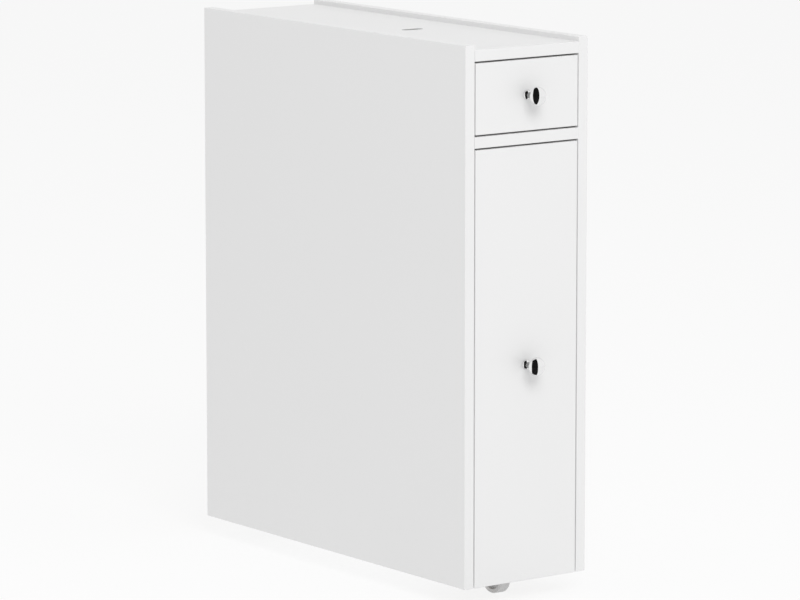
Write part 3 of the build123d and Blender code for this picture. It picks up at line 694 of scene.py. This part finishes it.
# The screws: zinc plated, with a cross recess. Pan heads hold the castors and the knobs, flat
# heads sit flush in the runners and the guides, and two shoulder screws carry the rollers.
RECESS_HALF_WIDTH = 0.00042
RECESS_SOFTNESS = 0.00018
RECESS_REACH_SHARE = 0.62
HEAD_POINTS = 26
SCREW_STEPS = 80
PLATE_THICKNESS = 0.0015
PLATE_EDGE = 0.0045
PLATE_SCREW_DEPTH = 0.0115
PAN_HEAD = (0.003, 0.0018)
PAN_SHANK = 0.0018
PAN_CROWN_SHARE = 0.45
PAN_RECESS_SHARE = 0.6
KNOB_SCREW_HEAD = (0.004, 0.0024)
KNOB_SCREW_SHANK = (0.002, 0.021)
WOOD_HEAD = (0.003, 0.0015)
WOOD_SHANK = 0.0016
WOOD_RECESS_SHARE = 0.7
RUNNER_SCREW_DEPTH = 0.014
CHANNEL_SCREW_DEPTH = 0.010
GUIDE_SCREW_DEPTH = 0.026
SCREWS_PER_ROW = 3
ROLLER_HEAD = (0.0045, 0.0014)
ROLLER_CROWN_SHARE = 0.1
ROLLER_SHOULDER = (0.0025, 0.0066)
ROLLER_SHANK = (0.0018, 0.0206)


def screw(seat, out, head, below, crown_share, recess):
    """One screw with its head on the seat. The head's top is h = H (1 - crown (r / R)^2), less
    a cross recess that is full within its arms and shallower towards their ends."""
    radius, height = head
    r = np.linspace(0, radius, HEAD_POINTS)
    top = list(zip(r, height * (1 - crown_share * (r / radius) ** 2)))
    profile = top + below
    on_top = np.arange(len(profile))[:, None] < len(top)
    reach = radius * RECESS_REACH_SHARE

    def cross(r, a):
        across = np.minimum(np.abs(r * np.cos(a)), np.abs(r * np.sin(a)))
        arm = np.clip((RECESS_HALF_WIDTH + RECESS_SOFTNESS - across) / RECESS_SOFTNESS, 0, 1)
        return recess * arm * np.clip((reach - r) / (reach / 2), 0, 1) * on_top

    return turned(profile, seat, out, SCREW_STEPS, cross)


def pan_head(seat, out, head, shank, depth):
    """A low domed head on a plain shank."""
    below = [(head[0], 0), (shank, 0), (shank, -depth), (0, -depth)]
    return screw(seat, out, head, below, PAN_CROWN_SHARE, head[1] * PAN_RECESS_SHARE)


def flat_head(seat, out, depth):
    """A countersunk head, flush with the seat."""
    below = [(WOOD_SHANK, -WOOD_HEAD[1]), (WOOD_SHANK, -depth), (0, -depth)]
    return screw(seat, out, (WOOD_HEAD[0], 0), below, 0, WOOD_HEAD[1] * WOOD_RECESS_SHARE)


def shoulder_screw(seat, out):
    """A thin flat head, the shoulder that the roller turns on, and the shank in the board."""
    radius, length = ROLLER_SHOULDER
    shank, end = ROLLER_SHANK
    below = [(ROLLER_HEAD[0], 0), (radius, 0), (radius, -length), (shank, -length), (shank, -end), (0, -end)]
    return screw(seat, out, ROLLER_HEAD, below, ROLLER_CROWN_SHARE, ROLLER_HEAD[1] * PAN_RECESS_SHARE)


def plate_screws(fork):
    """Four pan-head screws up through the plate of a fork."""
    low, high, middle = ends(fork)
    return [
        pan_head((x, y, high[2] - PLATE_THICKNESS), (0, 0, -1), PAN_HEAD, PAN_SHANK, PLATE_SCREW_DEPTH)
        for x in (low[0] + PLATE_EDGE, high[0] - PLATE_EDGE)
        for y in (low[1] + PLATE_EDGE, high[1] - PLATE_EDGE)
    ]


def row_along(node):
    """The places along y of a row of flat-head screws."""
    low, high, middle = ends(node)
    return np.linspace(low[1] + WOOD_HEAD[0], high[1] - WOOD_HEAD[0], SCREWS_PER_ROW)


def runner_screws(side, way):
    """A row from the inner face of a drawer runner into its side panel."""
    face = ends("drawer_runner_" + side)[0 if way > 0 else 1][0]
    height = ends("drawer_runner_screws")[2][2]
    return [
        flat_head((face, y, height), (-way, 0, 0), RUNNER_SCREW_DEPTH)
        for y in row_along("drawer_runner_screws")
    ]


def channel_screws():
    """A row up through the web of the guide channel."""
    low, high, middle = ends("guide_channel_screws")
    return [
        flat_head((middle[0], y, low[2]), (0, 0, -1), CHANNEL_SCREW_DEPTH)
        for y in row_along("guide_channel_screws")
    ]


def guide_screw():
    """One screw down through the guide block."""
    low, high, middle = ends("guide_block_screw")
    return [flat_head((middle[0], middle[1], high[2]), (0, 0, 1), GUIDE_SCREW_DEPTH)]


def knob_screw(body):
    """A machine screw from inside the front into the knob."""
    seat = ends(body + "_front")[1][1]
    middle = ends(body + "_knob_screw")[2]
    return [pan_head((middle[0], seat, middle[2]), (0, 1, 0), KNOB_SCREW_HEAD, *KNOB_SCREW_SHANK)]


def roller_screws():
    """Two shoulder screws into the edges of the pull-out's bottom board."""
    low, high, middle = ends("roller_screws")
    seat = high[0] - ROLLER_HEAD[1]
    return [shoulder_screw((way * seat, middle[1], middle[2]), (way, 0, 0)) for way in (-1, 1)]


screw_sets = {
    "castor_screws": ("carcass", [part for fork in carcass_forks for part in plate_screws(fork)]),
    "pullout_castor_screws": ("pullout", plate_screws("pullout_castor_fork")),
    "drawer_runner_screws": ("carcass", runner_screws("left", -1) + runner_screws("right", 1)),
    "guide_channel_screws": ("carcass", channel_screws()),
    "guide_block_screw": ("pullout", guide_screw()),
    "drawer_knob_screw": ("drawer", knob_screw("drawer")),
    "pullout_knob_screw": ("pullout", knob_screw("pullout")),
    "roller_screws": ("pullout", roller_screws()),
}
for node, (body, parts) in screw_sets.items():
    add_piece(node + "_recessed", parts, zinc, body, node)


# The guide channel: a drawn aluminium section under the divider, with fine lines along it.
ALUMINIUM_PALE = (0.78, 0.78, 0.79)
ALUMINIUM_GREY = (0.66, 0.66, 0.68)
ALUMINIUM_ROUGHNESS = 0.3
DRAWN_STRETCH = (1, 0.01, 1)
LINE_SCALE = 2600
LINE_ROUGHNESS = 0.2
LINE_DEPTH = 0.000015

aluminium = Finish("aluminium", Metallic=1.0)
lines = aluminium.noise(aluminium.place(DRAWN_STRETCH), LINE_SCALE, detail=3.0)
aluminium.surface(
    Base_Color=aluminium.blend(lines, ALUMINIUM_PALE, ALUMINIUM_GREY),
    Roughness=ALUMINIUM_ROUGHNESS + LINE_ROUGHNESS * lines,
    Normal=aluminium.bump(lines, LINE_DEPTH),
)
aluminium.dress("guide_channel")
